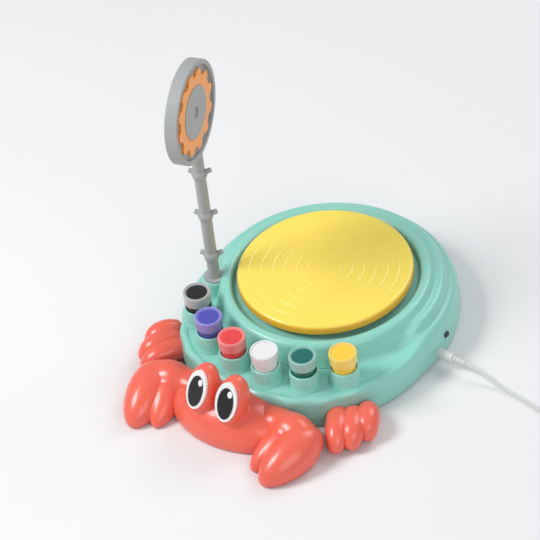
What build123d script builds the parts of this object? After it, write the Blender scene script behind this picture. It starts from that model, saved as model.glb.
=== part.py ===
"""Toy pottery wheel shaped like a hermit crab, with paint pots, a tool arm and a corded foot pedal.

Units are millimetres. Everything is drawn about the turntable's axis, with Z up from the table top and the
crab looking along -Y. place() then shifts it so that the origin is the middle of the wheel's footprint.
"""
from build123d import *
import math
import os

# ---- driving dimensions -------------------------------------------------------------------------------
AXIS_Y = 44.641           # how far the turntable's axis is behind the middle of the footprint
TABLE_R = 75.0           # turntable radius
TABLE_TOP = 58.0         # height of the turntable's top face
TABLE_THICK = 9.0
WALL = 2.5               # casing wall
MOAT_FLOOR = 44.0        # casing height under the turntable
LEDGE_TOP = 30.0         # height of the front ledge that carries the paint pots
SKIRT_BOTTOM = 1.5
COVER_BOTTOM, COVER_TOP = 2.5, 5.0
CRAB_BOTTOM = 1.0        # the crab's parts clear the table by this much

POT_RING_R = 104.5       # the pots stand on an arc of this radius
POT_RING_Y = -8.5        # about a centre this far in front of the turntable's axis
POT_STEP = 18.2          # degrees between pots
POT_COLOURS = ("black", "blue", "red", "white", "green", "yellow")
BOSS_R, BOSS_TOP = 12.6, 46.0
SOCKET_R, SOCKET_FLOOR = 10.4, 36.0
POT_R, POT_TOP = 10.2, 59.8
LID_R, LID_TOP = 11.8, 62.0

ARM_X, ARM_Y = -83.0, -47.0   # the tool arm's post
POST_R = 5.0
DISC_R, DISC_THICK = 44.0, 10.0
DISC_CENTRE_Z = 228.0

PLUG_Z = 11.0            # height of the pedal cord's socket, on the +X side
CORD_R = 1.5
PEDAL_X, PEDAL_Y = 233.0, 121.0
PEDAL_R = 48.0
COIL_X, COIL_Y = 275.0, 31.0
COIL_IN, COIL_OUT = 10.5, 25.5

SCREW_R, SCREW_HEAD_R = 1.5, 3.0

PARTS = {}


# ---- small helpers ------------------------------------------------------------------------------------
def keep(name, *shapes):
    """Files one or more solids under a node name."""
    PARTS[name] = list(shapes)


def tube(r_out, r_in, z0, z1, x=0.0, y=0.0):
    """A round tube, or a plain rod when r_in is 0."""
    body = Pos(x, y, (z0 + z1) / 2) * Cylinder(r_out, z1 - z0)
    if r_in:
        body -= Pos(x, y, (z0 + z1) / 2) * Cylinder(r_in, z1 - z0 + 2)
    return body


def slab(x0, x1, y0, y1, z0, z1):
    return Pos((x0 + x1) / 2, (y0 + y1) / 2, (z0 + z1) / 2) * Box(x1 - x0, y1 - y0, z1 - z0)


def turned(*edges):
    """A solid of revolution about Z from edges drawn in the XZ plane."""
    return revolve(make_face(list(edges)), Axis.Z)


def turned_polygon(*points):
    """A solid of revolution about Z from straight lines through (radius, height) points."""
    corners = [(r, 0, z) for r, z in points]
    return turned(*Polyline(*corners, close=True).edges())


def blob(p, q, radius):
    """A spheroid whose long axis runs from p to q."""
    p, q = Vector(*p), Vector(*q)
    half = (q - p).length / 2
    lens = make_face([
        Line((0, 0, -half), (0, 0, half)),
        EllipticalCenterArc((0, 0), radius, half, start_angle=-90, arc_size=180).rotate(Axis.X, 90),
    ])
    egg = revolve(lens, Axis.Z)
    middle = (p + q) / 2
    return Plane(origin=middle, z_dir=(q - p).normalized()) * egg


def ahead(angle_deg, radius):
    """A point at an angle from the crab's nose direction, positive towards +X."""
    a = math.radians(angle_deg)
    return radius * math.sin(a), -radius * math.cos(a)


def pot_places():
    for i, colour in enumerate(POT_COLOURS):
        x, y = ahead((i - 2.5) * POT_STEP, POT_RING_R)
        yield colour, x, y + POT_RING_Y


def rod_between(p, q, radius):
    p, q = Vector(*p), Vector(*q)
    return Plane(origin=(p + q) / 2, z_dir=(q - p).normalized()) * Cylinder(radius, (q - p).length)


# ---- casing -------------------------------------------------------------------------------------------
LEDGE_OUTLINE = [(111.5, 0), (110.5, -26), (106, -52), (97, -77), (84, -99), (66, -117), (38, -130), (0, -134.5)]


def ledge_face(grow=0.0):
    """Plan outline of the front ledge, closed across the turntable's axis, moved outwards by grow."""
    points = LEDGE_OUTLINE + [(-x, y) for x, y in reversed(LEDGE_OUTLINE[:-1])]
    moved = []
    for i, (x, y) in enumerate(points):
        before, after = points[max(i - 1, 0)], points[min(i + 1, len(points) - 1)]
        run = Vector(after[0] - before[0], after[1] - before[1]).normalized()
        end = i in (0, len(points) - 1)
        out = Vector(math.copysign(1, x), 0) if end else Vector(-run.Y, run.X)
        moved.append((x + grow * out.X, y + grow * out.Y))
    return make_face([Spline(*moved), Line(moved[-1], moved[0])])


def prism(face, z0, z1):
    return Pos(0, 0, z0) * extrude(face, z1 - z0)


def round_casing_outside():
    """The back of the casing: the moat wall, the rim ring and two round shell tiers down to the skirt."""
    points = [(0, MOAT_FLOOR), (79.0, MOAT_FLOOR), (80.5, 49.0), (92.0, 46.0), (104.0, 34.0), (111.5, 18.0),
              (109.0, SKIRT_BOTTOM), (0, SKIRT_BOTTOM)]
    p = [(r, 0, z) for r, z in points]
    return turned(
        Line(p[0], p[1]), Line(p[1], p[2]),
        ThreePointArc(p[2], (86.0, 0, 50.8), p[3]),
        ThreePointArc(p[3], (99.5, 0, 42.0), p[4]),
        ThreePointArc(p[4], (109.2, 0, 27.5), p[5]),
        ThreePointArc(p[5], (111.8, 0, 8.0), p[6]),
        Line(p[6], p[7]), Line(p[7], p[0]),
    )


def round_casing_inside():
    points = [(0, MOAT_FLOOR - WALL), (88.0, MOAT_FLOOR - WALL), (101.0, 32.5), (108.6, 17.5),
              (106.4, SKIRT_BOTTOM - 0.5), (0, SKIRT_BOTTOM - 0.5)]
    p = [(r, 0, z) for r, z in points]
    return turned(
        Line(p[0], p[1]),
        ThreePointArc(p[1], (96.4, 0, 38.4), p[2]),
        ThreePointArc(p[2], (106.4, 0, 26.0), p[3]),
        ThreePointArc(p[3], (109.1, 0, 8.0), p[4]),
        Line(p[4], p[5]), Line(p[5], p[0]),
    )


COVER_SCREWS = [(88, 42), (-88, 42), (46, 86), (-46, 86), (50, -112), (-50, -112)]
FEET = [(70, 62), (-70, 62), (76, -84), (-76, -84)]


def casing():
    ledge = prism(ledge_face(), SKIRT_BOTTOM, LEDGE_TOP)
    lip = ledge.edges().filter_by(lambda e: abs(e.bounding_box().min.Z - LEDGE_TOP) < 0.01
                                  and abs(e.bounding_box().max.Z - LEDGE_TOP) < 0.01
                                  and e.geom_type != GeomType.LINE)
    ledge = fillet(lip, 6.0)
    outside = round_casing_outside() + ledge
    shell = outside - round_casing_inside() - prism(ledge_face(-WALL), SKIRT_BOTTOM - 0.5, LEDGE_TOP - WALL)
    for _, x, y in pot_places():
        shell += tube(BOSS_R, 0, LEDGE_TOP - WALL, BOSS_TOP, x, y)
    shell += tube(10.0, 0, 25.0, 47.5, ARM_X, ARM_Y)
    for _, x, y in pot_places():
        shell -= tube(SOCKET_R, 0, SOCKET_FLOOR, BOSS_TOP + 1, x, y)
    shell -= tube(7.6, 0, 27.0, 48.5, ARM_X, ARM_Y)
    shell -= tube(9.4, 0, 47.5, 56.0, ARM_X, ARM_Y)
    shell -= tube(12.0, 0, MOAT_FLOOR - WALL - 1, MOAT_FLOOR + 1)
    for x, y in COVER_SCREWS:
        top = LEDGE_TOP - WALL + 0.5 if y < -60 else 36.0 if abs(x) < 60 else 34.0
        shell += tube(4.2, 0, COVER_TOP, top, x, y)
        shell -= tube(SCREW_R, 0, COVER_TOP - 1, 18.0, x, y)
    # the socket for the pedal's plug, and the switch's window
    shell -= Pos(108, 0, PLUG_Z) * Rot(0, 90, 0) * Cylinder(5.2, 14)
    shell -= slab(100, 116, 8.5, 21.5, 18.0, 25.0)
    return shell


keep("top_casing", casing())

bottom_outline = Circle(105.8) + ledge_face(-WALL - 0.4)
bottom = prism(bottom_outline, COVER_BOTTOM, COVER_TOP)
BATTERY_Y0, BATTERY_Y1 = -114.0, -53.0
BAY_X = 31.5
bottom -= slab(-BAY_X, BAY_X, BATTERY_Y0 + 2, BATTERY_Y1 - 2, 0, 8)
bottom += tube(8.0, 0, COVER_TOP, 15.0)
bottom -= tube(6.0, 0, 6.0, 16.0)
for x, y in COVER_SCREWS:
    bottom -= tube(SCREW_R + 0.1, 0, 0, 8, x, y)
    bottom -= tube(SCREW_HEAD_R + 0.2, 0, 0, COVER_BOTTOM + 1.2, x, y)
keep("bottom_cover", bottom)

keep("rubber_feet", *[tube(9.0, 0, 0, COVER_BOTTOM, x, y) for x, y in FEET])


def screw(x, y, z_head, length, up=True):
    """A self-tapping screw with its head at the bottom and a cross recess."""
    head = tube(SCREW_HEAD_R, 0, z_head, z_head + 1.2, x, y)
    shank = tube(SCREW_R, 0, z_head + 1.2, z_head + length, x, y)
    cross = slab(x - 2, x + 2, y - 0.35, y + 0.35, z_head - 1, z_head + 0.7)
    cross += slab(x - 0.35, x + 0.35, y - 2, y + 2, z_head - 1, z_head + 0.7)
    return head + shank - cross


keep("casing_screws", *[screw(x, y, COVER_BOTTOM, 14.0) for x, y in COVER_SCREWS])

# ---- battery compartment ------------------------------------------------------------------------------
BATTERY_TOP = 22.0
box = slab(-BAY_X - 1.8, BAY_X + 1.8, BATTERY_Y0, BATTERY_Y1, COVER_TOP, BATTERY_TOP)
box -= slab(-BAY_X, BAY_X, BATTERY_Y0 + 2, BATTERY_Y1 - 2, COVER_TOP - 1, BATTERY_TOP - 1.8)
keep("battery_box", box)
CELLS_X = (-22.5, -7.5, 7.5, 22.5)
CELL_Z = 12.4
cells = []
for i, x in enumerate(CELLS_X):
    y0 = BATTERY_Y0 + (3.2 if i % 2 else 6.4)
    cell = Pos(x, y0 + 24.5, CELL_Z) * Rot(90, 0, 0) * Cylinder(7.1, 49)
    nub_y = y0 + (49.5 if i % 2 else -0.5)
    cells.append(cell + Pos(x, nub_y, CELL_Z) * Rot(90, 0, 0) * Cylinder(2.6, 1.0))
keep("battery_cells", *cells)
contacts = []
for i, x in enumerate(CELLS_X):
    contacts.append(slab(x - 5.5, x + 5.5, BATTERY_Y0 + 2, BATTERY_Y0 + 2.4, 7, 18))
    contacts.append(slab(x - 5.5, x + 5.5, BATTERY_Y1 - 2.4, BATTERY_Y1 - 2, 7, 18))
keep("battery_contacts", *contacts)
door = slab(-BAY_X + 0.3, BAY_X - 0.3, BATTERY_Y0 + 2.3, BATTERY_Y1 - 2.3, COVER_BOTTOM, COVER_TOP - 0.6)
for k in range(5):
    y = -70 - 4 * k
    door -= slab(-14, 14, y - 0.8, y + 0.8, COVER_BOTTOM - 1, COVER_BOTTOM + 0.6)
keep("battery_door", door)


# ---- gear train ---------------------------------------------------------------------------------------
def gear(teeth, module, z0, z1, bore, phase_deg, x=0.0, y=0.0):
    """A spur gear with stub involute teeth. One tooth is centred at phase_deg."""
    pressure = math.radians(20)
    pitch_r = teeth * module / 2
    base_r = pitch_r * math.cos(pressure)
    tip_r = pitch_r + 0.75 * module
    root_r = pitch_r - 1.1 * module
    backlash = 0.07 * module + 0.03
    inv_pitch = math.tan(pressure) - pressure
    half_pitch = math.pi / (2 * teeth) - backlash / pitch_r

    def half_angle(r):
        """Half the tooth's angle at radius r: the involute above the base circle, radial below it."""
        if r <= base_r:
            return half_pitch + inv_pitch
        a = math.acos(base_r / r)
        return half_pitch + inv_pitch - (math.tan(a) - a)

    def at(r, angle):
        return (r * math.cos(angle), r * math.sin(angle))

    start_r = max(root_r, base_r)
    mid_r = (start_r + tip_r) / 2
    edges = []
    step = 2 * math.pi / teeth
    for k in range(teeth):
        c = math.radians(phase_deg) + k * step
        low, mid, top = half_angle(start_r), half_angle(mid_r), half_angle(tip_r)
        if root_r < start_r:
            edges.append(Line(at(root_r, c - low), at(start_r, c - low)))
        edges.append(ThreePointArc(at(start_r, c - low), at(mid_r, c - mid), at(tip_r, c - top)))
        edges.append(Line(at(tip_r, c - top), at(tip_r, c + top)))
        edges.append(ThreePointArc(at(tip_r, c + top), at(mid_r, c + mid), at(start_r, c + low)))
        if root_r < start_r:
            edges.append(Line(at(start_r, c + low), at(root_r, c + low)))
        edges.append(Line(at(root_r, c + low), at(root_r, c + step - low)))
    body = extrude(make_face(edges), z1 - z0)
    return Pos(x, y, z0) * (body - Pos(0, 0, (z1 - z0) / 2) * Cylinder(bore, z1 - z0 + 2))


PINION, WHEEL, OUTPUT = 12, 44, 56
M_OUT, M_MID, M_FAST = 0.9, 0.7, 0.6
D_OUT, D_MID, D_FAST = (OUTPUT + PINION) * M_OUT / 2, (WHEEL + PINION) * M_MID / 2, (WHEEL + PINION) * M_FAST / 2
A_OUT, A_MID, A_FAST = 90.0, 60.0, 0.0


def step_from(x, y, distance, angle_deg):
    a = math.radians(angle_deg)
    return x + distance * math.cos(a), y + distance * math.sin(a)


SLOW_X, SLOW_Y = step_from(0, 0, D_OUT, A_OUT)
FAST_X, FAST_Y = step_from(SLOW_X, SLOW_Y, D_MID, A_MID)
MOTOR_X, MOTOR_Y = step_from(FAST_X, FAST_Y, D_FAST, A_FAST)


def gap_at(angle_deg, teeth):
    """The phase that puts a tooth gap at an angle."""
    return angle_deg - 180.0 / teeth


PIN_R = 1.0
GEAR_BORE = PIN_R + 0.06
keep("output_gear", gear(OUTPUT, M_OUT, 22.0, 26.5, 4.0, A_OUT) + tube(8.0, 4.0, 19.5, 22.0))
slow = gear(PINION, M_OUT, 21.5, 28.0, GEAR_BORE, gap_at(A_OUT + 180, PINION), SLOW_X, SLOW_Y)
slow += gear(WHEEL, M_MID, 28.0, 31.5, GEAR_BORE, A_MID, SLOW_X, SLOW_Y)
keep("slow_reduction_gear", slow)
fast = gear(PINION, M_MID, 27.6, 33.6, GEAR_BORE, gap_at(A_MID + 180, PINION), FAST_X, FAST_Y)
fast += gear(WHEEL, M_FAST, 33.6, 36.4, GEAR_BORE, A_FAST, FAST_X, FAST_Y)
keep("fast_reduction_gear", fast)
keep("motor_rotor", gear(PINION, M_FAST, 33.8, 37.2, PIN_R, gap_at(A_FAST + 180, PINION), MOTOR_X, MOTOR_Y),
     tube(PIN_R, 0, 33.5, 37.6, MOTOR_X, MOTOR_Y))
PLATE_BOTTOM, PLATE_TOP = 38.0, 40.0
keep("gear_pins", *[tube(PIN_R, 0, 17.0, PLATE_BOTTOM + 1.0, x, y) for x, y in ((SLOW_X, SLOW_Y), (FAST_X, FAST_Y))])

# ---- motor --------------------------------------------------------------------------------------------
CAN_HALF_X, CAN_R = 7.5, 10.0
CAN_BOTTOM, CAN_TOP = 11.0, 32.6
can = tube(CAN_R, 0, CAN_BOTTOM, CAN_TOP, MOTOR_X, MOTOR_Y)
can &= slab(MOTOR_X - CAN_HALF_X, MOTOR_X + CAN_HALF_X, MOTOR_Y - 12, MOTOR_Y + 12, CAN_BOTTOM, CAN_TOP)
can += tube(2.6, 0, CAN_TOP, 33.3, MOTOR_X, MOTOR_Y)
keep("motor_can", can)
cap = tube(CAN_R - 0.3, 0, CAN_BOTTOM - 2.4, CAN_BOTTOM, MOTOR_X, MOTOR_Y)
cap &= slab(MOTOR_X - CAN_HALF_X + 0.3, MOTOR_X + CAN_HALF_X - 0.3, MOTOR_Y - 12, MOTOR_Y + 12, 0, CAN_TOP)
keep("motor_end_cap", cap)

# ---- gearbox case -------------------------------------------------------------------------------------
GB_X0, GB_X1, GB_Y0, GB_Y1 = -30.0, 40.0, -30.0, 67.0
GB_FLOOR, GB_INSIDE = 16.0, 18.0
POCKET_BOTTOM = 8.0
case = slab(GB_X0, GB_X1, GB_Y0, GB_Y1, GB_FLOOR, PLATE_BOTTOM)
case -= slab(GB_X0 + 2, GB_X1 - 2, GB_Y0 + 2, GB_Y1 - 2, GB_INSIDE, PLATE_BOTTOM + 1)
case += slab(MOTOR_X - 9.5, MOTOR_X + 9.5, MOTOR_Y - 12, MOTOR_Y + 12, POCKET_BOTTOM - 1.6, GB_INSIDE)
case -= slab(MOTOR_X - CAN_HALF_X, MOTOR_X + CAN_HALF_X, MOTOR_Y - CAN_R, MOTOR_Y + CAN_R, POCKET_BOTTOM, 30)
case -= tube(8.4, 0, 10, 20)
PILLARS = [(-25, -25), (35, -25), (-25, 61), (35, 62)]
for x, y in PILLARS:
    case += tube(3.6, 0, GB_INSIDE, PLATE_BOTTOM, x, y)
    case -= tube(SCREW_R, 0, 26.0, PLATE_BOTTOM + 1, x, y)
for x, y in ((SLOW_X, SLOW_Y), (FAST_X, FAST_Y)):
    case += tube(3.0, 0, GB_FLOOR, 20.5, x, y)
    case -= tube(PIN_R, 0, 17.0, 30, x, y)
keep("gearbox_case", case)
plate = slab(GB_X0, GB_X1, GB_Y0, GB_Y1, PLATE_BOTTOM, PLATE_TOP)
plate += tube(9.0, 0, PLATE_TOP, 41.3)
plate -= tube(6.5, 0, 36, 43)
for x, y in ((SLOW_X, SLOW_Y), (FAST_X, FAST_Y)):
    plate -= tube(PIN_R, 0, PLATE_BOTTOM - 1, PLATE_BOTTOM + 1.0, x, y)
for x, y in PILLARS:
    plate -= tube(SCREW_R + 0.1, 0, PLATE_BOTTOM - 1, PLATE_TOP + 1, x, y)
keep("gearbox_plate", plate)
gearbox_screws = []
for x, y in PILLARS:
    upright = screw(0, 0, 0, 11.0)
    gearbox_screws.append(Pos(x, y, PLATE_TOP + 1.2) * Rot(180, 0, 0) * upright)
keep("gearbox_screws", *gearbox_screws)

# ---- spindle and turntable ----------------------------------------------------------------------------
SPINDLE_R = 4.0
keep("spindle_shaft", tube(SPINDLE_R, 0, 6.2, 51.0))
RUN = 0.05
keep("spindle_bushes", tube(6.0, SPINDLE_R + RUN, 6.0, 15.0), tube(6.5, SPINDLE_R + RUN, 37.0, 41.3))
HEX_R = 9.2
hub = Pos(0, 0, 44.7) * extrude(RegularPolygon(HEX_R, 6), 52.5 - 44.7)
hub += tube(7.0, 0, 41.8, 44.7)
hub -= tube(SPINDLE_R, 0, 40, 51.0)
keep("drive_hub", hub)


def turntable():
    """A shallow yellow disc with rounded edge, ringed top, ribbed hollow underside and a hexagonal socket."""
    low = TABLE_TOP - TABLE_THICK
    top = TABLE_TOP
    profile = [Line((0, 0, low), (TABLE_R - 2.0, 0, low)),
               ThreePointArc((TABLE_R - 2.0, 0, low), (TABLE_R - 0.6, 0, low + 0.6), (TABLE_R, 0, low + 2.0)),
               Line((TABLE_R, 0, low + 2.0), (TABLE_R, 0, top - 3.0)),
               ThreePointArc((TABLE_R, 0, top - 3.0), (TABLE_R - 0.9, 0, top - 0.9), (TABLE_R - 3.0, 0, top)),
               Line((TABLE_R - 3.0, 0, top), (0, 0, top)), Line((0, 0, top), (0, 0, low))]
    disc = turned(*profile)
    for r in (14.0, 24.0, 34.0, 44.0, 54.0, 64.0):
        disc -= turned_polygon((r - 0.9, top + 0.5), (r - 0.9, top), (r, top - 0.45), (r + 0.9, top), (r + 0.9, top + 0.5))
    disc -= tube(TABLE_R - 3.0, 16.0, low - 1, low + 5.5)
    for k in range(6):
        disc += Rot(0, 0, 60 * k) * slab(15.5, TABLE_R - 2.5, -1.0, 1.0, low + 1.0, low + 6.0)
    disc += tube(14.0, 0, 45.5, low + 0.5)
    disc -= Pos(0, 0, 45.0) * extrude(RegularPolygon(HEX_R + 0.25, 6), 52.6 - 45.0)
    return disc


keep("turntable", turntable())

# ---- paint pots ---------------------------------------------------------------------------------------
for colour, x, y in pot_places():
    cup = turned_polygon((0, 36.05), (9.7, 36.05), (POT_R, 50.0), (POT_R, POT_TOP), (8.9, POT_TOP), (8.9, 38.0),
                         (0, 37.4))
    paint = turned_polygon((0, 37.4), (8.9, 38.0), (8.9, 58.8), (0, 58.8))
    keep(f"paint_pot_{colour}", Pos(x, y, 0) * cup, Pos(x, y, 0) * paint)
    lid = turned_polygon((0, POT_TOP + 0.05), (POT_R + 0.1, POT_TOP + 0.05), (POT_R + 0.1, 52.0), (LID_R - 0.3, 52.0),
                         (LID_R, 60.8), (LID_R - 0.5, LID_TOP), (LID_R - 1.5, LID_TOP), (LID_R - 2.0, 61.0), (0, 61.0))
    keep(f"pot_lid_{colour}", Pos(x, y, 0) * lid)

# ---- tool arm -----------------------------------------------------------------------------------------
keep("arm_collar", tube(7.5, POST_R + 0.08, 27.1, 47.6, ARM_X, ARM_Y) + tube(9.2, POST_R + 0.08, 47.6, 49.0,
                                                                              ARM_X, ARM_Y))
KNOT_HEIGHTS = (72.0, 117.0, 162.0)
DISC_BOTTOM = DISC_CENTRE_Z - DISC_R
FACING = 16.0   # the disc faces the turntable, a little towards its front
post = tube(POST_R, 0, 27.4, DISC_BOTTOM + 3.0)
for z in KNOT_HEIGHTS:
    post += blob((0, 0, z - 6.5), (0, 0, z + 6.5), POST_R + 1.6)
    post += rod_between((-9.5, 1.0, z + 1.5), (0, 0, z), 2.2)
    post += rod_between((9.5, 2.0, z + 4.5), (0, 0, z - 1), 2.2)
turn = Pos(ARM_X, ARM_Y, 0) * Rot(0, 0, FACING)
rim = Pos(0, 0, DISC_CENTRE_Z) * Rot(0, 90, 0) * (Cylinder(DISC_R, DISC_THICK)
                                                  - Pos(0, 0, DISC_THICK / 2) * Cylinder(DISC_R - 4.0, 5.0))
post -= Pos(0, 0, DISC_CENTRE_Z) * Rot(0, 90, 0) * Cylinder(DISC_R, DISC_THICK + 8)
keep("tool_post", turn * post)
keep("tool_disc", turn * rim)
PETALS = 12
inlay = Cylinder(DISC_R - 12.5, 2.2) - Cylinder(DISC_R - 21.0, 4)
for k in range(PETALS):
    inlay += Rot(0, 0, 360 / PETALS * k) * Pos(DISC_R - 12.5, 0, 0) * Cylinder(5.2, 2.2)
centre = Cylinder(DISC_R - 21.3, 2.6) - Pos(0, 0, 1.0) * Cylinder(5.0, 2.0)
flat = Pos(DISC_THICK / 2 - 2.5, 0, DISC_CENTRE_Z) * Rot(0, 90, 0)
keep("disc_flower", turn * flat * Pos(0, 0, 1.1) * inlay)
keep("disc_centre", turn * flat * Pos(0, 0, 1.3) * centre)

# ---- crab ---------------------------------------------------------------------------------------------
EYE_X, EYE_Y, EYE_Z = 14.8, -163.5, 45.5
EYE_TILT, EYE_TURN = 28.0, 6.0          # leaning back, and turned outwards
EYE_HALF_W, EYE_HALF_H = 9.8, 17.0


def eye_plate(side, half_w, half_h, depth0, depth1, up=0.0):
    """An oval plate in front of one eye stalk (side 1 or -1), between two depths along the eye's outward normal."""
    oval = extrude(Ellipse(half_w, half_h), depth1 - depth0)
    look = Rot(0, 0, side * EYE_TURN) * Rot(90 - EYE_TILT, 0, 0)
    return Pos(side * EYE_X, EYE_Y, EYE_Z) * look * Pos(0, up, depth0) * oval


def joined(shapes):
    """One moulding from overlapping eggs, cut flat just above the table and fitted round the casing."""
    whole = shapes[0]
    for shape in shapes[1:]:
        whole += shape
    return whole - slab(-150, 150, -230, -20, -60, CRAB_BOTTOM) - prism(ledge_face(0.3), 0, 90)


def crab_front():
    """Head, two eye stalks and two claws, moulded as one piece and cut flat underneath."""
    head = blob((-54, -145, 8), (54, -145, 8), 31.0)
    pairs = [
        ((14.4, -153, 10), (14.4, -150, 62), 14.0),   # eye stalk
        ((24, -142, 17), (82, -143, 17), 15.5),       # arm
        ((52, -144, 17), (88, -147, 17), 16.5),       # wrist
        ((82, -136, 17), (67.5, -201, 5), 16.5),      # outer finger
        ((66, -134, 17), (50, -190, 4), 13.0),        # inner finger
    ]
    eggs = [head]
    for p, q, radius in pairs:
        for s in (1, -1):
            eggs.append(blob((s * p[0], *p[1:]), (s * q[0], *q[1:]), radius))
    whole = joined(eggs)
    for side in (1, -1):
        whole -= eye_plate(side, EYE_HALF_W, EYE_HALF_H, 0, 30)
    return whole


def crab_legs(side):
    """Three short bent legs on one side, moulded together."""
    legs = [
        ((76, -97, 10), (96, -129, 11), 8.6), ((89, -111, 14), (96.5, -133, 1), 8.0),
        ((83, -86, 10), (106, -121, 11), 9.4), ((99, -103, 15), (107, -127, 1), 8.2),
        ((92, -69, 10), (113, -100, 11), 9.0), ((106, -83, 14), (114, -107, 1), 7.8),
    ]
    eggs = [blob((side * p[0], *p[1:]), (side * q[0], *q[1:]), radius) for p, q, radius in legs]
    return joined(eggs).solids().sort_by(SortBy.VOLUME)[-1]


keep("crab_front", crab_front().solids().sort_by(SortBy.VOLUME)[-1])
keep("crab_legs", crab_legs(1), crab_legs(-1))
keep("eye_whites", *[eye_plate(s, EYE_HALF_W, EYE_HALF_H, 0, 2.4) for s in (1, -1)])
keep("eye_pupils", *[eye_plate(s, 7.2, 13.6, 2.4, 3.0, up=-1.2) for s in (1, -1)])

# ---- pedal socket, circuit board and switch -----------------------------------------------------------
BOARD_X = 86.0
keep("circuit_board", slab(BOARD_X, BOARD_X + 1.6, -13, 26, 5.5, 30))
jack = slab(BOARD_X + 1.6, 101.5, -5.5, 5.5, PLUG_Z - 5, PLUG_Z + 5)
jack -= Pos(100, 0, PLUG_Z) * Rot(0, 90, 0) * Cylinder(1.8, 16)
keep("pedal_jack", jack)
keep("switch_housing", slab(BOARD_X + 1.6, 101.0, 8.0, 22.0, 17.0, 26.0)
     - slab(96.0, 102.0, 9.5, 20.5, 19.4, 23.6))
keep("switch_knob", slab(96.5, 112.6, 10.0, 15.0, 19.6, 23.4))

# ---- plug and cord ------------------------------------------------------------------------------------
plug = Pos(117.5, 0, PLUG_Z) * Rot(0, 90, 0) * Cylinder(4.6, 17)
taper = Pos(132, 0, PLUG_Z) * Rot(0, 90, 0) * Cone(3.3, CORD_R + 0.5, 12)
plug += taper
for k in range(3):
    plug -= Pos(129.0 + 3.0 * k, 0, PLUG_Z) * Rot(0, 90, 0) * (Cylinder(5, 0.9) - Cylinder(2.4 - 0.2 * k, 1.2))
keep("pedal_plug", plug)
keep("plug_pin", Pos(101.5, 0, PLUG_Z) * Rot(0, 90, 0) * Cylinder(1.7, 15))

LEAD_ROUTE = [(138, 0, PLUG_Z), (150, -0.3, 9.4), (163, -1.0, 4.4), (178, -2.2, 1.62), (200, -5.0, 1.55),
              (223, -10.0, 1.55), (244, -15.2, 1.55), (264, -18.5, 1.55), (282, -15.5, 1.55), (294, -4.0, 1.55),
              (299.2, 11.0, 1.55), (299.0, 31.0, 1.55)]
TAIL_ROUTE = [(299.0, 31, 4.8), (299.2, 44, 3.4), (295.8, 57.0, 1.7), (287.6, 68.0, 2.0), (276.5, 77.5, 4.0)]


def cord(name, route):
    """A round cord along straight runs joined by arcs as large as the runs allow."""
    points = [Vector(*p) for p in route]
    radii = []
    for a, b, c in zip(points, points[1:], points[2:]):
        turn_angle = math.radians((b - a).get_angle(c - b))
        radii.append(0.45 * min((b - a).length, (c - b).length) / math.tan(turn_angle / 2))
    path = FilletPolyline(*points, radius=radii)
    section = Plane(origin=points[0], z_dir=(points[1] - points[0]).normalized()) * Circle(CORD_R)
    solid = sweep(section, path)
    print(name, "length", round(path.length, 1), "volume ratio",
          round(solid.volume / (math.pi * CORD_R ** 2 * path.length), 4), "radii", [round(r) for r in radii])
    return solid


keep("pedal_cord_lead", cord("lead", LEAD_ROUTE))
keep("pedal_cord_coil", tube(COIL_OUT, COIL_IN, 0, 6.4, COIL_X, COIL_Y))
keep("pedal_cord_tail", cord("tail", TAIL_ROUTE))
tie = slab(COIL_X - COIL_OUT - 1.5, COIL_X - COIL_IN + 1.5, COIL_Y - 2.5, COIL_Y + 2.5, 0.0, 7.6)
tie -= slab(COIL_X - COIL_OUT - 0.4, COIL_X - COIL_IN + 0.4, COIL_Y - 3, COIL_Y + 3, 0.0, 6.6)
keep("cord_tie", tie)

# ---- foot pedal ---------------------------------------------------------------------------------------
PEDAL_LOW = 1.6
BUTTON_R, BUTTON_TOP = 31.0, 23.0


def at_pedal(shape):
    return Pos(PEDAL_X, PEDAL_Y, 0) * shape


def pedal_base():
    p = [(r, 0, z) for r, z in ((45.0, PEDAL_LOW), (PEDAL_R, 5.0), (36.5, 20.0), (32.0, 21.0), (32.0, 12.0),
                                (29.0, 12.0), (29.0, 9.5), (42.5, 5.0), (42.5, PEDAL_LOW))]
    shell = turned(
        ThreePointArc(p[0], (47.4, 0, 2.8), p[1]),
        ThreePointArc(p[1], (45.4, 0, 14.2), p[2]),
        ThreePointArc(p[2], (34.2, 0, 21.3), p[3]),
        *[Line(a, b) for a, b in zip(p[3:], p[4:])], Line(p[-1], p[0]),
    )
    return shell


GLAND_ANGLE = -45.0
gland_dir = Vector(math.cos(math.radians(GLAND_ANGLE)), math.sin(math.radians(GLAND_ANGLE)), -0.06).normalized()
gland_tip = Vector(276.5, 77.5, 4.0)
gland = Plane(origin=gland_tip - gland_dir * 7.5, z_dir=gland_dir) * Cone(3.4, CORD_R + 0.45, 15)
base = at_pedal(pedal_base())
keep("pedal_base", base - gland)
keep("pedal_gland", gland - at_pedal(tube(43.6, 0, 0, 30)))
keep("pedal_floor", at_pedal(tube(42.3, 0, PEDAL_LOW, 4.0)))
keep("pedal_feet", *[at_pedal(tube(6.0, 0, 0, PEDAL_LOW, *ahead(a, 34.0))) for a in (0, 90, 180, 270)])
button = tube(BUTTON_R, 0, 15.5, BUTTON_TOP - 1.6)
button += turned(Line((0, 0, BUTTON_TOP - 1.7), (BUTTON_R, 0, BUTTON_TOP - 1.7)),
                 ThreePointArc((BUTTON_R, 0, BUTTON_TOP - 1.7), (BUTTON_R - 0.8, 0, BUTTON_TOP - 0.5),
                               (BUTTON_R - 3.0, 0, BUTTON_TOP)),
                 Line((BUTTON_R - 3.0, 0, BUTTON_TOP), (0, 0, BUTTON_TOP)),
                 Line((0, 0, BUTTON_TOP), (0, 0, BUTTON_TOP - 1.7)))
button -= tube(BUTTON_R - 2.5, 0, 14.5, 20.0)
button += tube(6.0, 0, 14.0, 20.5)
keep("pedal_button", at_pedal(button))
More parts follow.
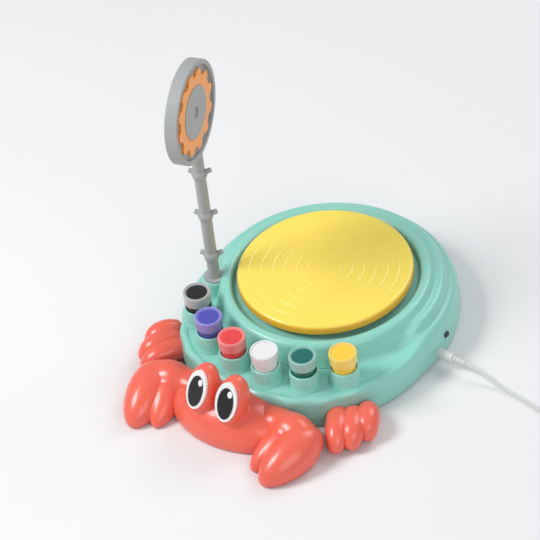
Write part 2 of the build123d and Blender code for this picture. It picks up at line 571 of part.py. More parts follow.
SPRING_R, WIRE_R, SPRING_LOW, SPRING_HIGH = 9.0, 0.6, 4.0, 20.0
helix = Helix(pitch=3.2, height=SPRING_HIGH - SPRING_LOW - 2 * WIRE_R, radius=SPRING_R)
wire = sweep(Plane(origin=helix @ 0, z_dir=helix % 0) * Circle(WIRE_R), helix, is_frenet=True)
keep("pedal_spring", at_pedal(Pos(0, 0, SPRING_LOW + WIRE_R + 0.02) * wire & tube(12, 0, SPRING_LOW, SPRING_HIGH)))
keep("pedal_switch", at_pedal(slab(-6.0, 6.0, -3.2, 3.2, 4.0, 9.6)))

# ---- write --------------------------------------------------------------------------------------------
os.makedirs("parts", exist_ok=True)
for old in os.listdir("parts"):
    os.remove(os.path.join("parts", old))
for name, shapes in PARTS.items():
    solids = [s for shape in shapes for s in shape.solids()]
    placed = [Pos(0, AXIS_Y, 0) * s for s in solids]
    export_step(placed[0] if len(placed) == 1 else Compound(children=placed), f"parts/{name}.step")
CORD_NODES = ("pedal_plug", "plug_pin", "pedal_cord_lead", "pedal_cord_coil", "pedal_cord_tail", "cord_tie",
              "pedal_base", "pedal_gland", "pedal_floor", "pedal_feet", "pedal_button", "pedal_spring", "pedal_switch")
boxes = [shape.bounding_box() for name, shapes in PARTS.items() if name not in CORD_NODES for shape in shapes]
for letter in "XYZ":
    low = min(getattr(box.min, letter) for box in boxes)
    high = max(getattr(box.max, letter) for box in boxes)
    print("wheel", letter, round(low, 3), round(high, 3), "middle", round((low + high) / 2, 3))
print(len(PARTS), "nodes")
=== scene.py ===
"""Toy pottery wheel shaped like a hermit crab: each visible piece's look, in the CAD's frame, in metres."""

import math
import bmesh
import bpy
import numpy as np
from mathutils import Matrix, Vector


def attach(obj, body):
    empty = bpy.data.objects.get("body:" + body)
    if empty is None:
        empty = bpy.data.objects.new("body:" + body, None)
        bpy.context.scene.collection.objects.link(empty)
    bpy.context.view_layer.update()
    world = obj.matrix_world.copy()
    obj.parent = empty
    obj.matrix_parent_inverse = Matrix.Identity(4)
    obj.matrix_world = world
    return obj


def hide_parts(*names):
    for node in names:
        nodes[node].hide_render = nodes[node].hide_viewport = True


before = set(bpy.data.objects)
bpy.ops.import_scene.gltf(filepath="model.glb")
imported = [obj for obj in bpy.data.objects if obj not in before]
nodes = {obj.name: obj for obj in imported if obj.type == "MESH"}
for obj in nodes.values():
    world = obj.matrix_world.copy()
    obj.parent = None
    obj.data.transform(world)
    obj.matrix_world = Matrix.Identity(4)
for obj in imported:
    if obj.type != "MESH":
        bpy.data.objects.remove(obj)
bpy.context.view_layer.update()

# ---- the studio: camera, lights and floor ---------------------------------------------------------------
# Nothing here is part of the object. The camera looks down past the claws through a long lens, turned a
# little about its own axis. Three square lamps and a pale floor stand round the wheel.
AXIS_Y = 0.044641
AZIMUTH, ELEVATION, ROLL = math.radians(40.5), math.radians(41.5), math.radians(-7.5)
DISTANCE = 2.6
AIM = Vector((0.0, AXIS_Y - 0.040, 0.070))
AIM_SHIFT_RIGHT, AIM_SHIFT_UP = -0.022, 0.012

back = Vector((math.sin(AZIMUTH) * math.cos(ELEVATION), -math.cos(AZIMUTH) * math.cos(ELEVATION),
               math.sin(ELEVATION)))
level = Vector((math.cos(AZIMUTH), math.sin(AZIMUTH), 0.0))
upright = back.cross(level)
right = math.cos(ROLL) * level + math.sin(ROLL) * upright
up = -math.sin(ROLL) * level + math.cos(ROLL) * upright
AIM += right * AIM_SHIFT_RIGHT + up * AIM_SHIFT_UP
eye = AIM + back * DISTANCE
lens = bpy.data.cameras.new("camera")
lens.sensor_width = 36.0
lens.lens = 208.0
lens.clip_end = 20.0
camera = bpy.data.objects.new("camera", lens)
camera.matrix_world = Matrix((
    (right.x, up.x, back.x, eye.x),
    (right.y, up.y, back.y, eye.y),
    (right.z, up.z, back.z, eye.z),
    (0.0, 0.0, 0.0, 1.0),
))
bpy.context.scene.collection.objects.link(camera)
bpy.context.scene.camera = camera


def soft_light(name, place, size, power, aim=(0.0, 0.0, 0.06)):
    """A square area light at place, turned to face aim."""
    lamp = bpy.data.lights.new(name, "AREA")
    lamp.size = size
    lamp.energy = power
    holder = bpy.data.objects.new(name, lamp)
    holder.location = place
    holder.rotation_euler = (Vector(aim) - Vector(place)).to_track_quat("-Z", "Y").to_euler()
    bpy.context.scene.collection.objects.link(holder)


soft_light("key_light", (-0.85, -0.75, 1.35), 0.6, 19.0)
soft_light("fill_light", (1.35, -0.75, 0.95), 1.1, 8.0)
soft_light("back_light", (0.25, 1.35, 1.25), 0.9, 9.0)
world = bpy.data.worlds.new("studio")
world.use_nodes = True
world.node_tree.nodes["Background"].inputs["Color"].default_value = (0.93, 0.95, 1.0, 1.0)
world.node_tree.nodes["Background"].inputs["Strength"].default_value = 0.42
bpy.context.scene.world = world
bpy.context.scene.view_settings.view_transform = "Standard"

floor_mesh = bpy.data.meshes.new("floor")
FLOOR_HALF = 6.0
FLOOR_CORNERS = ((-1, -1), (1, -1), (1, 1), (-1, 1))
floor_mesh.from_pydata([(x * FLOOR_HALF, y * FLOOR_HALF, 0) for x, y in FLOOR_CORNERS], [], [(0, 1, 2, 3)])
floor = bpy.data.objects.new("floor", floor_mesh)
bpy.context.scene.collection.objects.link(floor)
floor_paint = bpy.data.materials.new("pale_floor")
floor_paint.use_nodes = True
floor_paint.node_tree.nodes["Principled BSDF"].inputs["Base Color"].default_value = (0.80, 0.80, 0.80, 1.0)
floor_paint.node_tree.nodes["Principled BSDF"].inputs["Roughness"].default_value = 0.85
floor_mesh.materials.append(floor_paint)


# ---- pedal lead ----------------------------------------------------------------------------------------
# A soft grey 3 mm lead from the plug to the foot pedal. It lies along the table, then nine turns of it are
# coiled flat in two layers and held with a tie: four winding inwards, a short rise, and the rest winding out.
def moulded(name, colour, rough=0.38, grain=0.012, grain_scale=420.0, patch=0.05, coat=0.0):
    """Plastic: a faint cloudy change of colour, fine surface grain as bump, and slightly uneven gloss."""
    material = bpy.data.materials.new(name)
    material.use_nodes = True
    tree = material.node_tree
    shader = tree.nodes["Principled BSDF"]
    where = tree.nodes.new("ShaderNodeTexCoord")
    cloud = tree.nodes.new("ShaderNodeTexNoise")
    cloud.inputs["Scale"].default_value = 22.0
    cloud.inputs["Detail"].default_value = 3.0
    tree.links.new(where.outputs["Object"], cloud.inputs["Vector"])
    mix = tree.nodes.new("ShaderNodeMix")
    mix.data_type = "RGBA"
    mix.inputs["A"].default_value = (*[c * (1.0 - patch) for c in colour], 1.0)
    mix.inputs["B"].default_value = (*[min(1.0, c * (1.0 + patch)) for c in colour], 1.0)
    tree.links.new(cloud.outputs["Fac"], mix.inputs["Factor"])
    tree.links.new(mix.outputs["Result"], shader.inputs["Base Color"])
    gloss = tree.nodes.new("ShaderNodeMapRange")
    gloss.inputs["To Min"].default_value = rough * 0.88
    gloss.inputs["To Max"].default_value = rough * 1.12
    tree.links.new(cloud.outputs["Fac"], gloss.inputs["Value"])
    tree.links.new(gloss.outputs["Result"], shader.inputs["Roughness"])
    speck = tree.nodes.new("ShaderNodeTexNoise")
    speck.inputs["Scale"].default_value = grain_scale
    speck.inputs["Detail"].default_value = 2.0
    tree.links.new(where.outputs["Object"], speck.inputs["Vector"])
    bump = tree.nodes.new("ShaderNodeBump")
    bump.inputs["Strength"].default_value = 0.25
    bump.inputs["Distance"].default_value = grain * 0.001
    tree.links.new(speck.outputs["Fac"], bump.inputs["Height"])
    tree.links.new(bump.outputs["Normal"], shader.inputs["Normal"])
    shader.inputs["Coat Weight"].default_value = coat
    shader.inputs["Coat Roughness"].default_value = 0.12
    return material


def finish_nodes(material, *names):
    """Gives CAD pieces their finish."""
    for name in names:
        piece = nodes[name]
        piece.data.materials.clear()
        piece.data.materials.append(material)


lead_grey = moulded("soft_grey_jacket", (0.62, 0.64, 0.63), rough=0.5)
LEAD_DIAMETER = 0.003
COIL_CENTRE = (0.275, 0.031)          # about the turntable's axis
LOW_TURN, HIGH_TURN = 0.00155, 0.00465
OUTER_TURN, TURN_PITCH = 0.0240, 0.00305
TURN_POINTS = 24
LAYER_TURNS = 4
LEAD_ROUTE = [(138, 0, 11.0), (150, -0.3, 9.4), (163, -1.0, 4.4), (178, -2.2, 1.62), (200, -5.0, 1.55),
              (223, -10.0, 1.55), (244, -15.2, 1.55), (264, -18.5, 1.55), (282, -15.5, 1.55),
              (294, -4.0, 1.55), (299.2, 11.0, 1.55), (299.0, 31.0, 1.55)]
TAIL_ROUTE = [(299.0, 31.0, 4.8), (299.2, 44.0, 3.4), (295.8, 57.0, 1.7), (287.6, 68.0, 2.0),
              (276.5, 77.5, 4.0)]
inner_turn = OUTER_TURN - LAYER_TURNS * TURN_PITCH
low_points = LAYER_TURNS * TURN_POINTS
rise_points = TURN_POINTS // 3
high_points = low_points + TURN_POINTS - rise_points
route = [(x / 1000, y / 1000 + AXIS_Y, z / 1000) for x, y, z in LEAD_ROUTE]
for k in range(1, low_points + rise_points + high_points):
    turn = 2 * math.pi * k / TURN_POINTS
    if k <= low_points:
        radius, height = OUTER_TURN - TURN_PITCH * k / TURN_POINTS, LOW_TURN
    elif k <= low_points + rise_points:
        lift = (k - low_points) / rise_points
        radius = inner_turn - 0.0004 * math.sin(math.pi * lift)
        height = LOW_TURN + (HIGH_TURN - LOW_TURN) * lift
    else:
        out = (k - low_points - rise_points) / high_points
        radius, height = OUTER_TURN - LAYER_TURNS * TURN_PITCH * (1 - out), HIGH_TURN
    route.append((COIL_CENTRE[0] + radius * math.cos(turn),
                  COIL_CENTRE[1] + AXIS_Y + radius * math.sin(turn), height))
route += [(x / 1000, y / 1000 + AXIS_Y, z / 1000) for x, y, z in TAIL_ROUTE]
lead_curve = bpy.data.curves.new("pedal_lead", "CURVE")
lead_curve.dimensions = "3D"
lead_curve.bevel_depth = LEAD_DIAMETER / 2
lead_curve.bevel_resolution = 5
lead_curve.resolution_u = 4
lead_curve.use_fill_caps = True
spline = lead_curve.splines.new("NURBS")
spline.points.add(len(route) - 1)
spline.points.foreach_set("co", np.array([(*p, 1.0) for p in route]).ravel())
spline.order_u = 3
spline.use_endpoint_u = True
lead_curve.materials.append(lead_grey)
lead = bpy.data.objects.new("pedal_lead", lead_curve)
bpy.context.scene.collection.objects.link(lead)
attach(lead, "base")
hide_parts("pedal_cord_lead", "pedal_cord_coil", "pedal_cord_tail")
finish_nodes(moulded("plug_grey", (0.66, 0.67, 0.66), rough=0.42), "pedal_plug", "pedal_gland")
finish_nodes(moulded("black_tie", (0.02, 0.02, 0.02), rough=0.6), "cord_tie")


# ---- casing --------------------------------------------------------------------------------------------
# One blue-green moulding: a moat under the turntable, a rounded rim, two shell tiers round the back and a
# flat ledge with a rippled lip in front. The pot sockets and the arm's boss are moulded on.
def smooth_step(low, high, value):
    """0 below low, 1 above high, and a smooth S between them."""
    t = np.clip((value - low) / (high - low), 0.0, 1.0)
    return t * t * (3.0 - 2.0 * t)


def through(points, count):
    """A smooth line through points, axis 0, by Catmull-Rom: each span is a cubic whose end slopes are half the
    step between the neighbours."""
    points = np.asarray(points, float)
    padded = np.concatenate([2 * points[:1] - points[1:2], points, 2 * points[-1:] - points[-2:-1]])
    t = np.linspace(0.0, len(points) - 1.0, count)
    i = np.minimum(t.astype(int), len(points) - 2)
    f = (t - i).reshape((-1,) + (1,) * (points.ndim - 1))
    a, b, c, d = padded[i], padded[i + 1], padded[i + 2], padded[i + 3]
    return 0.5 * (2 * b + (c - a) * f + (2 * a - 5 * b + 4 * c - d) * f ** 2
                  + (3 * b - a - 3 * c + d) * f ** 3)


def grid_piece(name, sheets, material, caps=True):
    """A mesh from one or more grids of points (rows along v, columns round u), in millimetres about the
    turntable's axis. Each grid is closed round u, and with caps a fan closes its first and last rows."""
    corners, faces = [], []
    for sheet in sheets:
        rows, columns = sheet.shape[:2]
        start = sum(len(c) for c in corners)
        corners.append(sheet.reshape(-1, 3))
        v, u = np.meshgrid(np.arange(rows - 1), np.arange(columns), indexing="ij")
        nxt = (u + 1) % columns
        low, high = v * columns, (v + 1) * columns
        quads = np.stack([low + u, low + nxt, high + nxt, high + u], -1)
        faces += (quads.reshape(-1, 4) + start).tolist()
        if caps:
            for row in (0, rows - 1):
                ring = start + row * columns + np.arange(columns)
                centre = sum(len(c) for c in corners)
                corners.append(sheet[row].mean(0, keepdims=True))
                pair = np.stack([ring, np.roll(ring, -1)], -1)
                fan = np.concatenate([pair, np.full((columns, 1), centre)], 1)
                faces += fan.tolist()
    points = np.concatenate(corners) / 1000.0
    points[:, 1] += AXIS_Y
    mesh = bpy.data.meshes.new(name)
    mesh.from_pydata(points.tolist(), [], faces)
    shape = bmesh.new()
    shape.from_mesh(mesh)
    bmesh.ops.remove_doubles(shape, verts=shape.verts, dist=1e-7)
    bmesh.ops.recalc_face_normals(shape, faces=shape.faces)
    shape.to_mesh(mesh)
    shape.free()
    mesh.polygons.foreach_set("use_smooth", [True] * len(mesh.polygons))
    mesh.materials.append(material)
    piece = bpy.data.objects.new(name, mesh)
    bpy.context.scene.collection.objects.link(piece)
    return piece


def turned_ring(profile, count=64, x=0.0, y=0.0):
    """A turned shape: the profile's (radius, height) points swept round a vertical line at x, y."""
    profile = np.asarray(profile, float)
    angle = np.linspace(0, 2 * np.pi, count, endpoint=False)
    r, z = profile[:, :1], profile[:, 1:]
    return np.stack([x + r * np.cos(angle), y + r * np.sin(angle), z + 0 * angle], -1)


# plan of the front ledge's edge, from beside the turntable's axis to the nose
LEDGE = np.array([(111.5, 0), (110.5, -26), (106, -52), (97, -77), (84, -99), (66, -117), (38, -130),
                  (0, -134.5)])
BACK_R = 111.5
AROUND, ALONG = 480, 170
RIPPLES = 30
# (radius, height) round a section: the moat and rim are the same all round
MOAT_AND_RIM = [(12, 41.6), (12, 43.2), (12.8, 44.0), (45, 44.0), (77.2, 44.0), (79.0, 45.0), (80.2, 48.4),
                (82.4, 50.4), (85.6, 50.9), (88.6, 50.0), (90.6, 47.6)]
# then two tiers at the back, down to the skirt and up again inside
BACK_TIERS = [(92.4, 45.6), (94.2, 45.0), (97.2, 45.2), (100.0, 43.4), (101.8, 39.6), (103.4, 37.2),
              (106.0, 36.2), (108.6, 33.4), (110.6, 27.5), (111.2, 24.5), (112.0, 20.0), (112.0, 12.0),
              (111.0, 5.0), (109.2, 1.5), (107.2, 1.5), (109.0, 10), (108.4, 18.0), (104.0, 30.0),
              (97.0, 39.0), (88.0, 41.4), (45.0, 41.5), (12.0, 41.6)]
# and the ledge at the front, point for point: 1 where the radius is measured out from the ledge's edge,
# then the radius, the height and how much of the ripple it takes
FRONT_LEDGE = np.array([
    (0, 91.6, 44.0, 0), (0, 92.8, 40.0, 0), (0, 94.0, 35.6, 0), (0, 95.6, 32.0, 0), (0, 98.4, 30.4, 0),
    (1, -9.5, 30.0, 0), (1, -7.0, 30.4, 0), (1, -4.4, 31.0, 0.5), (1, -1.6, 29.4, 0.8), (1, -0.4, 26.6, 0.7),
    (1, 0.0, 22.0, 0.4), (1, 0.2, 12.0, 0), (1, -0.6, 5.0, 0), (1, -1.6, 1.5, 0), (1, -3.6, 1.5, 0),
    (1, -2.6, 10.0, 0), (1, -2.6, 18.0, 0), (1, -3.0, 26.5, 0), (1, -8.0, 27.4, 0), (0, 91.0, 27.6, 0),
    (0, 86.0, 41.4, 0), (0, 12.0, 41.6, 0),
])
angle = np.linspace(-np.pi, np.pi, AROUND, endpoint=False)
ledge_line = through(np.concatenate([LEDGE, (LEDGE * (-1, 1))[-2::-1]]), 400)
ledge_angle = np.arctan2(ledge_line[:, 1], ledge_line[:, 0])
order = np.argsort(ledge_angle)
ledge_reach = np.interp(angle, ledge_angle[order], np.hypot(*ledge_line.T)[order])
edge = np.where(angle < 0, ledge_reach, BACK_R)[:, None]
front = smooth_step(0.02, 0.34, -np.sin(angle))[:, None]
ripple = (np.sin(angle * RIPPLES) * smooth_step(0.35, 0.6, -np.sin(angle)))[:, None]
back_r, back_z = np.array(BACK_TIERS).T
from_edge, front_r, front_z, ripple_size = FRONT_LEDGE.T
profile = np.zeros((AROUND, len(MOAT_AND_RIM) + len(BACK_TIERS), 2))
profile[:, :len(MOAT_AND_RIM)] = MOAT_AND_RIM
tier_r = from_edge * edge + front_r + ripple_size * ripple
profile[:, len(MOAT_AND_RIM):, 0] = back_r + (tier_r - back_r) * front
profile[:, len(MOAT_AND_RIM):, 1] = back_z + (front_z - back_z) * front
line = through(np.swapaxes(profile, 0, 1), ALONG)
casing_sheet = np.stack([line[..., 0] * np.cos(angle), line[..., 0] * np.sin(angle), line[..., 1]], -1)

POT_COLOURS = ("black", "blue", "red", "white", "green", "yellow")
POT_RING_R, POT_RING_Y, POT_STEP = 104.5, -8.5, math.radians(18.2)
ARM_X, ARM_Y = -83.0, -47.0
pot_turns = [(i - 2.5) * POT_STEP for i in range(len(POT_COLOURS))]
pot_places = [(POT_RING_R * math.sin(turn), POT_RING_Y - POT_RING_R * math.cos(turn)) for turn in pot_turns]
pot_boss = [(10.4, 36.0), (10.4, 44.9), (10.7, 45.8), (11.4, 46.0), (12.1, 45.6), (12.5, 44.6), (12.6, 33.5),
            (13.0, 31.6), (14.2, 30.3), (14.0, 28.0), (9.0, 28.0)]
arm_boss = [(7.6, 27.0), (7.6, 47.0), (8.2, 47.5), (9.2, 47.4), (10.0, 46.4), (10.3, 44.0), (10.6, 34.0),
            (11.6, 31.0), (13.0, 29.5), (12.0, 27.0)]
boss_sheets = [turned_ring(pot_boss, x=x, y=y) for x, y in pot_places]
boss_sheets.append(turned_ring(arm_boss, x=ARM_X, y=ARM_Y))
teal = moulded("blue_green_plastic", (0.275, 0.640, 0.545), rough=0.34, coat=0.15)
bosses = grid_piece("casing", boss_sheets, teal)
shell = grid_piece("casing_shell", [casing_sheet], teal, caps=False)
for piece in (bosses, shell):
    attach(piece, "base")
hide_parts("top_casing")
finish_nodes(moulded("cover_blue_green", (0.26, 0.60, 0.52), rough=0.55), "bottom_cover", "battery_door")
finish_nodes(moulded("black_rubber", (0.03, 0.03, 0.032), rough=0.8), "rubber_feet", "pedal_feet")


# ---- turntable -----------------------------------------------------------------------------------------
# A yellow disc with fine rings for centring the clay; its side, below a narrow band under the top, is painted
# a deeper orange-yellow as shade. It drops over a white nylon hub, which the gears inside turn.
def painted_side_shade(name, side_shade_colour, high_colour, height, band, rough=0.3):
    """Plastic whose colour changes with height over a narrow band: below it, a deeper colour painted as shade
    on the side.
    """
    material = moulded(name, high_colour, rough=rough, coat=0.2)
    tree = material.node_tree
    shader = tree.nodes["Principled BSDF"]
    where = tree.nodes.new("ShaderNodeTexCoord")
    split = tree.nodes.new("ShaderNodeSeparateXYZ")
    tree.links.new(where.outputs["Object"], split.inputs["Vector"])
    span = tree.nodes.new("ShaderNodeMapRange")
    span.inputs["From Min"].default_value = height - band
    span.inputs["From Max"].default_value = height
    tree.links.new(split.outputs["Z"], span.inputs["Value"])
    mix = tree.nodes.new("ShaderNodeMix")
    mix.data_type = "RGBA"
    mix.inputs["A"].default_value = (*side_shade_colour, 1.0)
    mix.inputs["B"].default_value = (*high_colour, 1.0)
    tree.links.new(span.outputs["Result"], mix.inputs["Factor"])
    tree.links.new(mix.outputs["Result"], shader.inputs["Base Color"])
    return material


# the turntable's side, below about 56 mm, is painted a deeper orange-yellow as shade; its top keeps the plain
# yellow
finish_nodes(painted_side_shade("turntable_yellow_plastic", (0.91, 0.46, 0.03), (0.96, 0.74, 0.11), 0.0576, 0.0016),
             "turntable")
finish_nodes(moulded("white_nylon", (0.80, 0.79, 0.75), rough=0.5), "drive_hub", "output_gear",
             "slow_reduction_gear", "fast_reduction_gear")


# ---- crab ----------------------------------------------------------------------------------------------
# The front moulding in glossy coral: a low head with two eye stalks and two arms with claws, then three short
# legs on each side. Each shape is the surface where a blend of egg-shaped fields is zero. The eyes are flat
# ovals, white with a black pupil and a small raised glint.
def eased_max(a, b, k):
    """The larger of a and b, rounded where they cross over a width k."""
    h = np.clip(0.5 + 0.5 * (a - b) / k, 0.0, 1.0)
    return b + (a - b) * h + k * h * (1.0 - h)


def egg(p, centre, half, lean=0.0):
    """How far inside an ellipsoid a point is: 1 minus its scaled distance. It may lean in the YZ plane."""
    q = p - np.asarray(centre, float)
    y = q[..., 1] * math.cos(lean) + q[..., 2] * math.sin(lean)
    z = -q[..., 1] * math.sin(lean) + q[..., 2] * math.cos(lean)
    return 1.0 - np.sqrt((q[..., 0] / half[0]) ** 2 + (y / half[1]) ** 2 + (z / half[2]) ** 2)


def spindle(p, start, end, radius, taper=0.0):
    """How far inside an egg whose long axis runs from start to end, thinner towards its end as taper grows:
    1 minus the scaled distance from its middle."""
    start, end = np.asarray(start, float), np.asarray(end, float)
    half = np.linalg.norm(end - start) / 2
    axis = (end - start) / (2 * half)
    q = p - (start + end) / 2
    along = q @ axis
    across = np.linalg.norm(q - along[..., None] * axis, axis=-1)
    slim = np.clip(1.0 - taper * along / half, 0.3, 2.0)
    return 1.0 - np.sqrt((along / half) ** 2 + (across / (radius * slim)) ** 2)


EYE_X, EYE_Y, EYE_Z = 14.8, -163.5, 45.5
EYE_LEAN, EYE_TURN = math.radians(28.0), math.radians(6.0)


def head_field(p):
    """The head: one wide egg, a chin and two stalks leaning back, each cut flat where its eye sits."""
    inside = egg(p, (0, -147, 7), (56, 30, 27))
    inside = eased_max(inside, egg(p, (0, -152, 8), (46, 26, 24)), 0.12)
    for side in (-1, 1):
        stalk = egg(p, (side * 14.7, -156.0, 41.0), (13.6, 13.6, 22.0), lean=-EYE_LEAN)
        face = np.array((side * math.cos(EYE_LEAN) * math.sin(EYE_TURN),
                         -math.cos(EYE_LEAN) * math.cos(EYE_TURN), math.sin(EYE_LEAN)))
        behind = -((p - np.array((side * EYE_X, EYE_Y, EYE_Z))) @ face) / 12.0
        inside = eased_max(inside, -eased_max(-stalk, -behind, 0.03), 0.10)
    return inside


def claw_field(side):
    """One claw: a long outer and a shorter inner finger with a sharp crease between, a wrist and an arm."""
    def field(p):
        outer = spindle(p, (side * 80, -131, 17), (side * 66.5, -195, 4), 18.0, taper=0.16)
        inner = spindle(p, (side * 65, -131, 16), (side * 49.5, -185, 3), 14.5, taper=0.26)
        pair = eased_max(outer, inner, 0.03)
        wrist = spindle(p, (side * 42, -141, 16), (side * 84, -143, 16), 16.0)
        arm = spindle(p, (side * 10, -140, 13), (side * 79, -140, 16), 14.5)
        return eased_max(eased_max(pair, wrist, 0.12), arm, 0.16)
    return field


LOWEST = 1.0      # everything in coral stops this far above the table


def star_surface(field, centre, rows=120, columns=240, farthest=110.0, halvings=30):
    """Points where field is 0 along rays from centre, found by halving the bracket, cut flat underneath."""
    centre = np.asarray(centre, float)
    tilt = np.linspace(0.0005, np.pi - 0.0005, rows)[:, None]
    turn = np.linspace(0, 2 * np.pi, columns, endpoint=False)[None, :]
    ray = np.stack([np.sin(tilt) * np.cos(turn), np.sin(tilt) * np.sin(turn), np.cos(tilt) + 0 * turn], -1)
    near = np.zeros(ray.shape[:2])
    far = np.full(ray.shape[:2], farthest)
    for _ in range(halvings):
        middle = (near + far) / 2
        inside = field(centre + ray * middle[..., None]) > 0
        near = np.where(inside, middle, near)
        far = np.where(inside, far, middle)
    surface = centre + ray * near[..., None]
    surface[..., 2] = np.maximum(surface[..., 2], LOWEST)
    return surface


def limb(spine, widths, heights, count=70, around=56):
    """A rounded limb: an ellipse of the given half width and half height carried along a smooth spine. Its
    size falls off as a quarter circle over about a tenth of the length at each end, and it is cut flat
    underneath."""
    centre = through(spine, count)
    half_w = through(np.asarray(widths, float)[:, None], count)[:, 0]
    half_h = through(np.asarray(heights, float)[:, None], count)[:, 0]
    end = np.abs(2 * np.linspace(0, 1, count) - 1)
    close = np.sqrt(np.clip(1 - (np.clip(end - 0.82, 0, 1) / 0.18) ** 2, 0.0, 1.0))
    close = np.maximum(close, 0.004)
    ahead = np.gradient(centre, axis=0)
    ahead /= np.linalg.norm(ahead, axis=1, keepdims=True)
    side = np.cross(ahead, (0, 0, 1.0))
    side /= np.linalg.norm(side, axis=1, keepdims=True)
    above = np.cross(side, ahead)
    turn = np.linspace(0, 2 * np.pi, around, endpoint=False)
    sheet = (centre[:, None] + (half_w * close)[:, None, None] * np.cos(turn)[None, :, None] * side[:, None]
             + (half_h * close)[:, None, None] * np.sin(turn)[None, :, None] * above[:, None])
    sheet[..., 2] = np.maximum(sheet[..., 2], LOWEST)
    return sheet


coral = moulded("coral_plastic", (0.86, 0.135, 0.085), rough=0.30, coat=0.25, patch=0.03)
head = grid_piece("crab_head", [star_surface(head_field, (0, -150, 16))], coral)
arms = grid_piece("crab_claws", [star_surface(claw_field(s), (s * 67, -151, 14)) for s in (-1, 1)], coral)
# each leg's tip, x and y, and its size beside the first leg's
LEG_TIPS = ((97.0, -134.5, 1.0), (106.5, -125.0, 0.85), (111.5, -110.0, 0.7))
LEG_HALF_WIDTHS = (8.0, 10.0, 9.8, 8.0, 4.5)
LEG_HALF_HEIGHTS = (8.0, 9.4, 9.2, 8.0, 4.5)
leg_sheets = []
for s in (-1, 1):
    for x, y, reach in LEG_TIPS:
        spine = [(s * (x - 22 * reach), y + 38 * reach, 10), (s * (x - 12 * reach), y + 24 * reach, 13.5),
                 (s * (x - 5 * reach), y + 12 * reach, 13), (s * (x - 1), y + 4, 8), (s * x, y, 2)]
        leg_sheets.append(limb(spine, LEG_HALF_WIDTHS, LEG_HALF_HEIGHTS))
legs = grid_piece("crab_leg_set", leg_sheets, coral)
for piece in (head, arms, legs):
    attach(piece, "base")
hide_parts("crab_front")
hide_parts("crab_legs")
finish_nodes(moulded("eye_white_plastic", (0.85, 0.85, 0.84), rough=0.22, coat=0.4), "eye_whites")
finish_nodes(moulded("eye_black_plastic", (0.010, 0.010, 0.012), rough=0.16, coat=0.6), "eye_pupils")


def eye_glint(side):
    """A small white oval dome on one pupil: circles shrinking to a point, laid on the leaning eye plate."""
    lean, turn_out = math.pi / 2 - EYE_LEAN, side * EYE_TURN
    ring, turn = np.linspace(1.0, 0.02, 10)[:, None], np.linspace(0, 2 * np.pi, 36, endpoint=False)[None, :]
    across, along = 3.2 + 2.3 * ring * np.cos(turn), 7.4 + 3.0 * ring * np.sin(turn)
    out = 3.0 + 0.35 * np.sqrt(1.0 - ring ** 2) + 0.0 * turn
    y, z = along * math.cos(lean) - out * math.sin(lean), along * math.sin(lean) + out * math.cos(lean)
    x = across * math.cos(turn_out) - y * math.sin(turn_out)
    y = across * math.sin(turn_out) + y * math.cos(turn_out)
    return np.stack([side * EYE_X + x, EYE_Y + y, EYE_Z + z], -1)


glints = grid_piece("eye_glints", [eye_glint(side) for side in (-1, 1)],
                    moulded("glint_white", (0.88, 0.88, 0.88), rough=0.2, coat=0.4))
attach(glints, "base")


# ---- paint pots ----------------------------------------------------------------------------------------
# Six thin clear cups filled with paint, each with a push-on lid. The paint shows through the middle of the
# lid, inside a paler rim.
POT_PAINT = {
    "black": (0.012, 0.012, 0.014), "blue": (0.075, 0.080, 0.42), "red": (0.78, 0.055, 0.055),
    "white": (0.80, 0.79, 0.80), "green": (0.006, 0.140, 0.115), "yellow": (0.93, 0.60, 0.05),
}
POT_RIM = {
    "black": (0.46, 0.47, 0.46), "blue": (0.28, 0.27, 0.66), "red": (0.88, 0.26, 0.24),
    "white": (0.80, 0.80, 0.80), "green": (0.30, 0.56, 0.50), "yellow": (0.95, 0.66, 0.14),
}


LID_WINDOW_R, LID_WINDOW_EDGE = 0.0089, 0.0004


def lid_stock(name, rim, disc, x, y):
    """Plastic that shows the paint through a disc in the middle of the lid at x, y, inside a paler rim."""
    material = moulded(name, disc, rough=0.24, coat=0.35)
    tree = material.node_tree
    where = tree.nodes.new("ShaderNodeTexCoord")
    centre = tree.nodes.new("ShaderNodeMapping")
    centre.inputs["Location"].default_value = (-x / 1000.0, -y / 1000.0 - AXIS_Y, 0.0)
    centre.inputs["Scale"].default_value = (1.0, 1.0, 0.0)
    tree.links.new(where.outputs["Object"], centre.inputs["Vector"])
    reach_out = tree.nodes.new("ShaderNodeVectorMath")
    reach_out.operation = "LENGTH"
    tree.links.new(centre.outputs["Vector"], reach_out.inputs[0])
    span = tree.nodes.new("ShaderNodeMapRange")
    span.inputs["From Min"].default_value = LID_WINDOW_R
    span.inputs["From Max"].default_value = LID_WINDOW_R + LID_WINDOW_EDGE
    tree.links.new(reach_out.outputs["Value"], span.inputs["Value"])
    mix = tree.nodes.new("ShaderNodeMix")
    mix.data_type = "RGBA"
    mix.inputs["A"].default_value = (*disc, 1.0)
    mix.inputs["B"].default_value = (*rim, 1.0)
    tree.links.new(span.outputs["Result"], mix.inputs["Factor"])
    tree.links.new(mix.outputs["Result"], tree.nodes["Principled BSDF"].inputs["Base Color"])
    return material


for colour, (x, y) in zip(POT_COLOURS, pot_places):
    paint = moulded(f"pot_{colour}_plastic", POT_PAINT[colour], rough=0.24, coat=0.35)
    finish_nodes(paint, f"paint_pot_{colour}")
    lid = lid_stock(f"lid_{colour}_plastic", POT_RIM[colour], POT_PAINT[colour], x, y)
    finish_nodes(lid, f"pot_lid_{colour}")

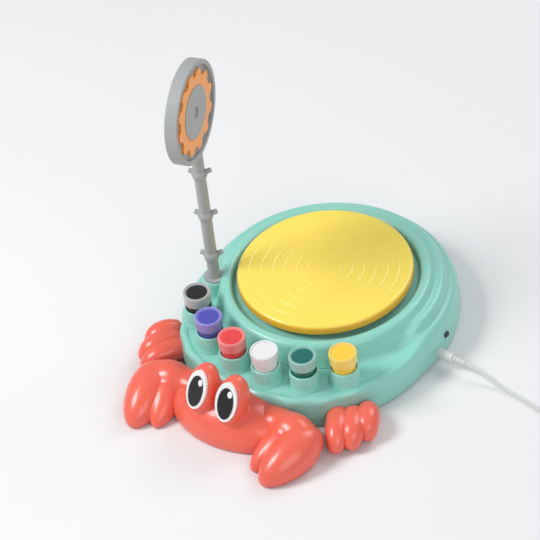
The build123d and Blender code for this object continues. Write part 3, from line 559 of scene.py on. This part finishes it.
# ---- tool arm ------------------------------------------------------------------------------------------
# A satin grey post moulded like a knotted branch, standing in a collar. Its round head has an orange flower
# inlaid in the face.
stone_grey = moulded("arm_grey_plastic", (0.36, 0.37, 0.37), rough=0.5, grain=0.08, grain_scale=260.0,
                     patch=0.10)
finish_nodes(stone_grey, "arm_collar", "tool_post", "tool_disc", "disc_centre")
finish_nodes(moulded("inlay_orange", (0.90, 0.34, 0.06), rough=0.38), "disc_flower")

# ---- foot pedal and switch -----------------------------------------------------------------------------
# A warm grey domed pedal with a large round button of a lighter stock, and the small black power switch on
# the casing's side.
finish_nodes(moulded("pedal_grey_plastic", (0.36, 0.35, 0.33), rough=0.5), "pedal_base", "pedal_floor")
finish_nodes(moulded("pedal_button_plastic", (0.45, 0.44, 0.41), rough=0.45), "pedal_button")
finish_nodes(moulded("switch_black_plastic", (0.02, 0.02, 0.022), rough=0.45), "switch_knob", "switch_housing",
             "pedal_jack", "pedal_switch")

# ---- inner pieces --------------------------------------------------------------------------------------
# Hidden inside the casing: the battery box and its cells, the motor, the gearbox, the spindle in its bushes
# and the circuit board.
finish_nodes(moulded("inner_white", (0.72, 0.72, 0.70), rough=0.55), "battery_box", "gearbox_case",
             "gearbox_plate", "motor_end_cap")
finish_nodes(moulded("cell_blue", (0.10, 0.15, 0.36), rough=0.35), "battery_cells")
finish_nodes(moulded("board_green_mask", (0.03, 0.20, 0.08), rough=0.4), "circuit_board")


def metal(name, colour, rough):
    """Bare metal: plastic's cloudy gloss and grain, a little stronger, on a metallic shader."""
    material = moulded(name, colour, rough=rough, grain=0.02)
    material.node_tree.nodes["Principled BSDF"].inputs["Metallic"].default_value = 1.0
    return material


finish_nodes(metal("bright_steel", (0.60, 0.60, 0.61), 0.3), "casing_screws", "gearbox_screws", "gear_pins",
             "motor_can", "spindle_shaft", "battery_contacts", "pedal_spring", "plug_pin")
finish_nodes(metal("turned_brass", (0.75, 0.58, 0.27), 0.3), "motor_rotor", "spindle_bushes")
